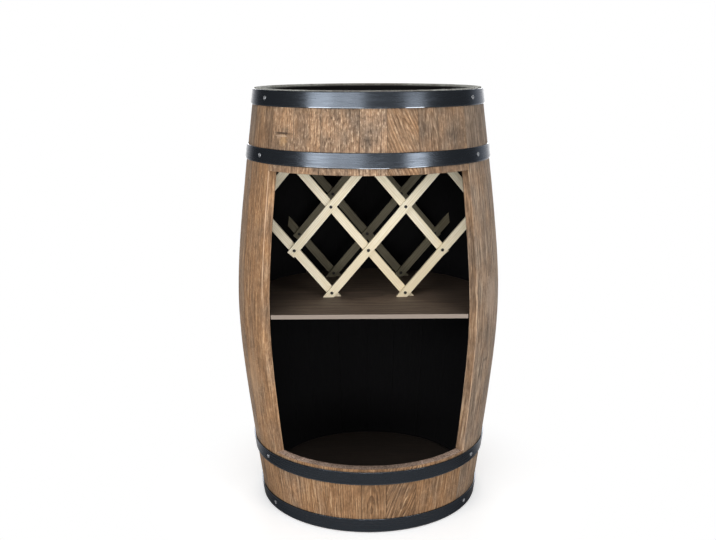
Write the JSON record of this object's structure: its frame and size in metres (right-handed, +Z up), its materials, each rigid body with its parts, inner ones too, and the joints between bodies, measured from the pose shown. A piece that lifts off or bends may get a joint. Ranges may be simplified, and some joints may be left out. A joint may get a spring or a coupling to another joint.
{
  "type": "barrel bar cabinet",
  "caption": "Oak cask standing on end as a bar cabinet: its front is cut open on a shelf, with crossed slats above it that hold lying bottles, and dark steel hoops bind the staves.",
  "frame": {"origin": "on the floor plane, in the middle of the cabinet's extent in X and Y, which is about 11 mm in front of the cask's own upright axis", "axes": "+Z up, along the cask's upright axis; the open front looks to -Y; +X is to the right of someone who faces the opening"},
  "size_m": [0.5109, 0.4896, 0.81],
  "materials": {
    "oak": "brown stain, brushed along the grain, satin",
    "hoop_steel": "black-grey coated strip with a soft sheen",
    "blackened_oak": "dark, matt",
    "pine": "planed, pale, matt"
  },
  "bodies": {
    "root": {"upper_front_stave_1": "oak", "upper_front_stave_2": "oak", "upper_front_stave_3": "oak", "upper_front_stave_4": "oak", "upper_front_stave_5": "oak", "upper_front_stave_6": "oak", "upper_front_stave_7": "oak", "lower_front_stave_1": "oak", "lower_front_stave_2": "oak", "lower_front_stave_3": "oak", "lower_front_stave_4": "oak", "lower_front_stave_5": "oak", "lower_front_stave_6": "oak", "lower_front_stave_7": "oak", "stave_1": "oak", "stave_2": "oak", "stave_3": "oak", "stave_4": "oak", "stave_5": "oak", "stave_6": "oak", "stave_7": "oak", "stave_8": "oak", "stave_9": "oak", "stave_10": "oak", "stave_11": "oak", "stave_12": "oak", "stave_13": "oak", "stave_14": "oak", "stave_15": "oak", "stave_16": "oak", "top_head_board_front": "oak", "top_head_board_middle": "oak", "top_head_board_back": "oak", "bottom_head_board_front": "blackened_oak", "bottom_head_board_middle": "blackened_oak", "bottom_head_board_back": "blackened_oak", "hoop_top": "hoop_steel", "hoop_upper_quarter": "hoop_steel", "hoop_lower_quarter": "hoop_steel", "hoop_bottom": "hoop_steel", "shelf": "blackened_oak", "shelf_cleat_left": "blackened_oak", "shelf_cleat_back": "blackened_oak", "shelf_cleat_right": "blackened_oak", "front_lattice_rising_slat_inner": "pine", "front_lattice_rising_slat_long": "pine", "front_lattice_rising_slat_outer": "pine", "front_lattice_rising_slat_short": "pine", "front_lattice_falling_slat_inner": "pine", "front_lattice_falling_slat_long": "pine", "front_lattice_falling_slat_outer": "pine", "front_lattice_falling_slat_short": "pine", "rear_lattice_rising_slat_inner": "pine", "rear_lattice_rising_slat_long": "pine", "rear_lattice_rising_slat_outer": "pine", "rear_lattice_falling_slat_inner": "pine", "rear_lattice_falling_slat_long": "pine", "rear_lattice_falling_slat_outer": "pine"}
  },
  "joints": []
}
